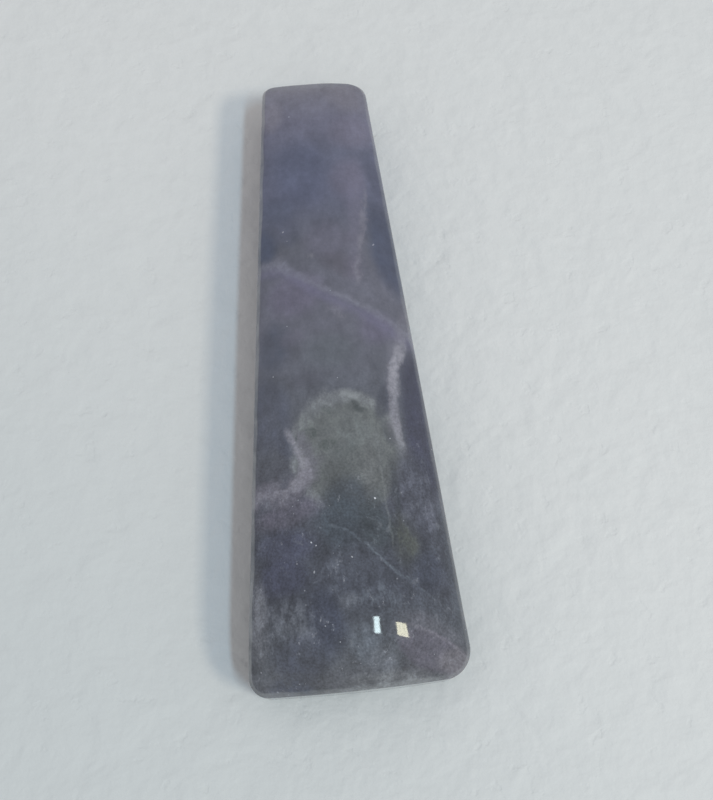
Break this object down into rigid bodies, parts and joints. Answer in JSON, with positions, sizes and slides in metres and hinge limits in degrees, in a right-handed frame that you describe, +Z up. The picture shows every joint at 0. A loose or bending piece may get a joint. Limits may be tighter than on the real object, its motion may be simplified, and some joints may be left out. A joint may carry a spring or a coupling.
{
  "type": "massage stone",
  "caption": "Tapered massage stone: a long trapezoid bar of polished purple-grey stone with a domed top, rounded corners, bevelled rim and flat back.",
  "frame": {"origin": "under the middle of the bar's bounding box, on the surface that the flat underside rests on", "axes": "+Z up out of the domed top, +Y along the bar from the wide end to the narrow end, +X to the right"},
  "size_m": [0.0293, 0.0906, 0.0138],
  "materials": {
    "stone": "polished, purple-grey with lilac veins and a grey-green patch"
  },
  "bodies": {
    "root": {"stone": "stone"}
  },
  "joints": []
}
